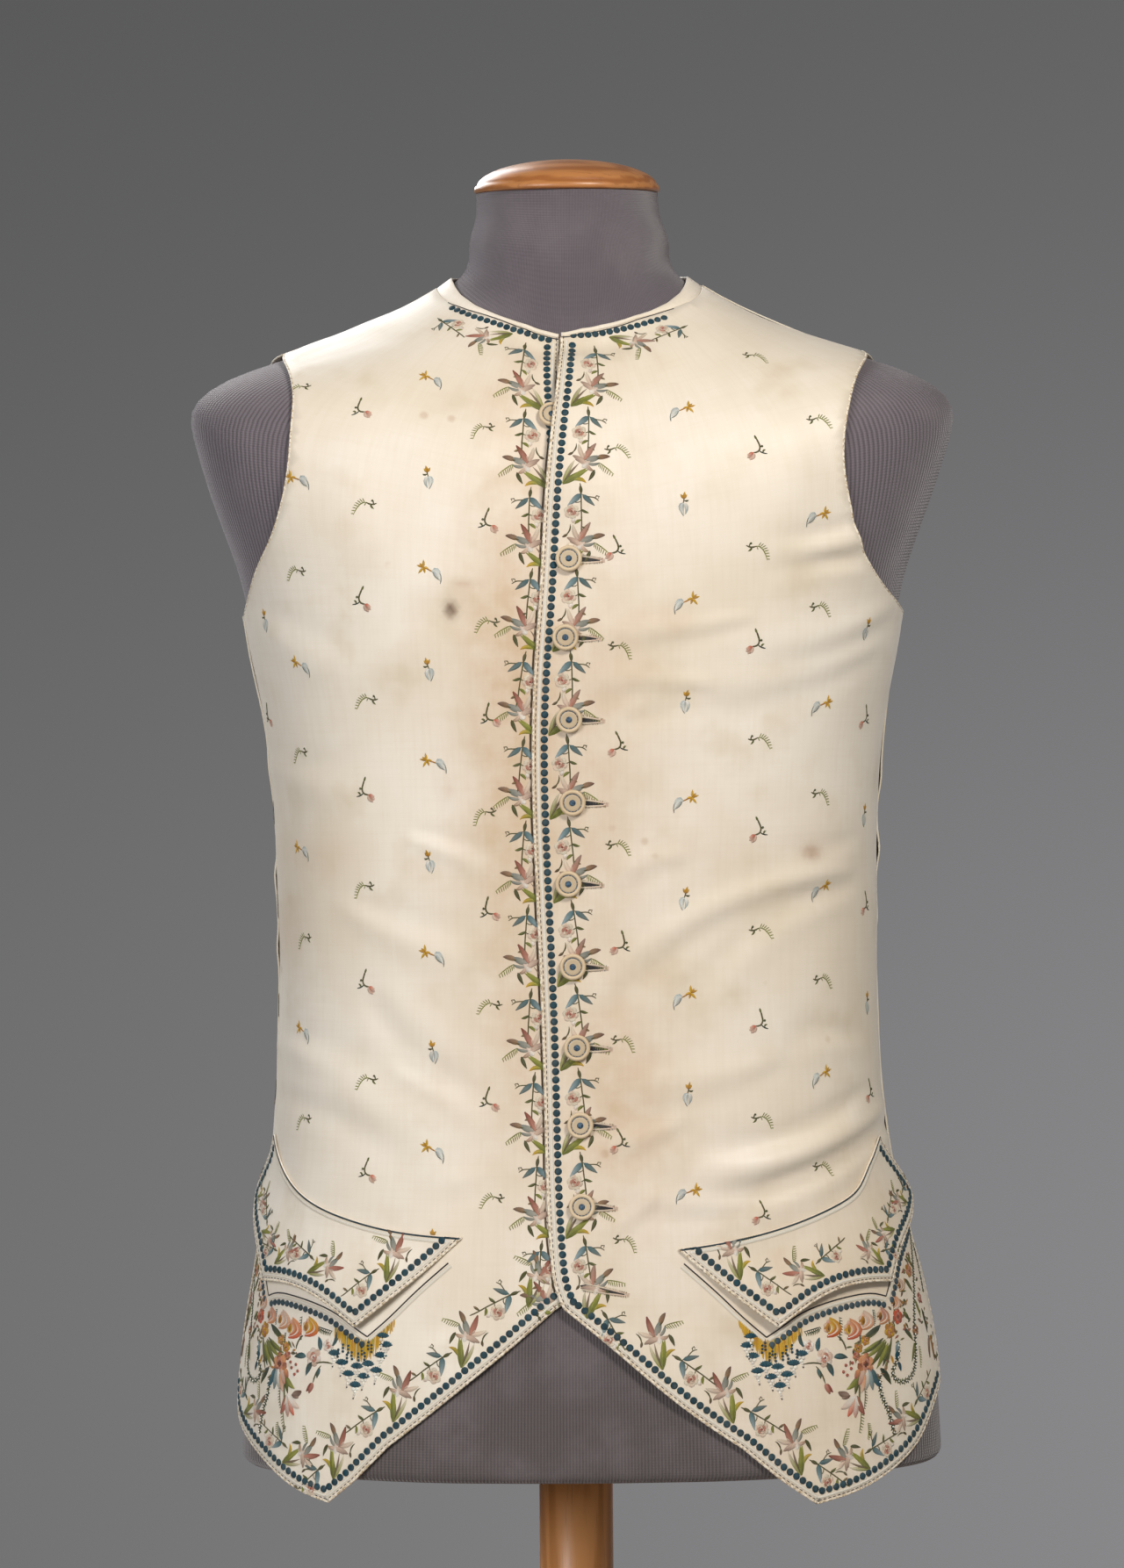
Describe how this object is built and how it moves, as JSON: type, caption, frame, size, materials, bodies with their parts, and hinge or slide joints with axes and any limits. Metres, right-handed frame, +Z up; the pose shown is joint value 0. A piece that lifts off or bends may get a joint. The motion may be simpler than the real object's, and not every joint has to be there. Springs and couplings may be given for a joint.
{
  "type": "embroidered waistcoat on a dress form",
  "caption": "Sleeveless embroidered silk waistcoat with pointed skirts and pocket flaps, worn by a limbless dress form on a round wooden stand.",
  "frame": {"origin": "centre of the stand's footprint on the floor, at the middle of the whole part's box", "axes": "+Z up, the waistcoat's front faces -Y, the wearer's left is at +X"},
  "size_m": [0.4315, 0.3, 0.9518],
  "materials": {
    "front_satin": "ivory silk satin with a soft sheen, embroidered in coloured silks",
    "back_cloth": "plain ivory cloth, matt",
    "binding_satin": "ivory silk satin strip with a soft sheen",
    "flap_satin": "ivory silk satin with a soft sheen, embroidered in coloured silks",
    "button_satin": "ivory silk stretched over a disc mould, embroidered ring and centre",
    "form_jersey": "purple-grey fine rib jersey, matt",
    "cap_beech": "turned beech, varnished",
    "stand_beech": "turned beech, varnished"
  },
  "bodies": {
    "root": {"front_left": "front_satin", "front_right": "front_satin", "back": "back_cloth", "neck_binding_left": "binding_satin", "neck_binding_right": "binding_satin", "neck_binding_back": "binding_satin", "pocket_flap_left": "flap_satin", "pocket_flap_right": "flap_satin", "button_1": "button_satin", "button_2": "button_satin", "button_3": "button_satin", "button_4": "button_satin", "button_5": "button_satin", "button_6": "button_satin", "button_7": "button_satin", "button_8": "button_satin", "button_9": "button_satin", "button_10": "button_satin", "dress_form": "form_jersey", "neck_cap": "cap_beech", "stand_post": "stand_beech", "stand_base": "stand_beech"}
  },
  "joints": []
}
